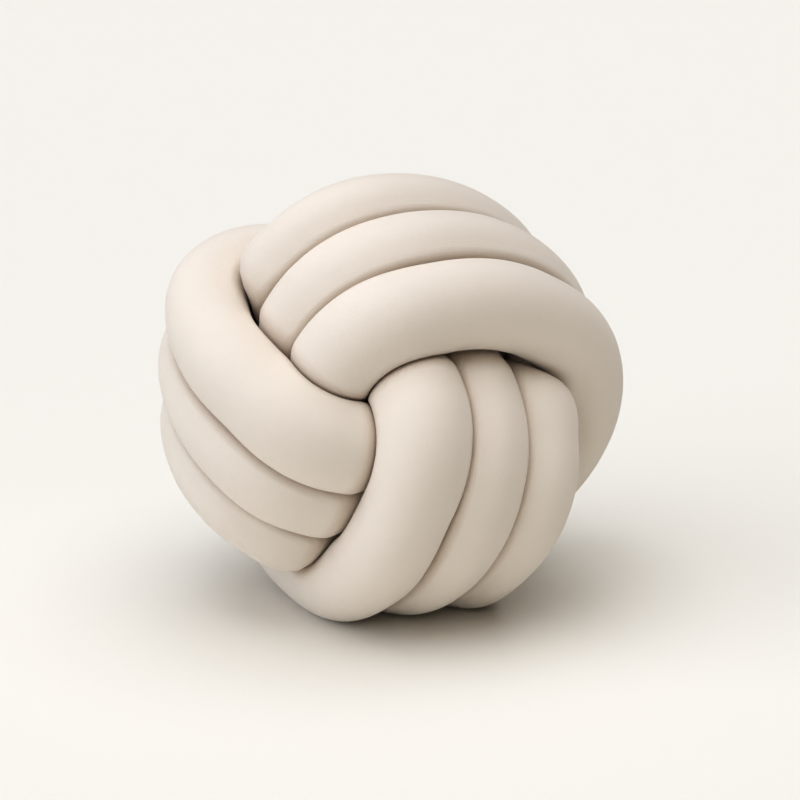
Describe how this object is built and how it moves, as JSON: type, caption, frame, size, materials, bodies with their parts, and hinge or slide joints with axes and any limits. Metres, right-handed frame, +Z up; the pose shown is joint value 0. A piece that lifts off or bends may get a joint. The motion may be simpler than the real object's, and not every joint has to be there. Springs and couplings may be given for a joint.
{
  "type": "knot cushion",
  "caption": "Ball-shaped knot cushion tied from one long stuffed fabric tube, its passes lying side by side in broad bands that weave over and under.",
  "frame": {"origin": "centre of the bounding box in plan, at the level of the flat resting patches", "axes": "+Z up; -Y towards the side with the three-cornered eye; +X to the right of someone facing that side"},
  "size_m": [0.3072, 0.2784, 0.2865],
  "materials": {
    "peached_jersey": "soft off-white peached jersey, matt with a faint sheen"
  },
  "bodies": {
    "root": {"knot_tube": "peached_jersey"}
  },
  "joints": []
}
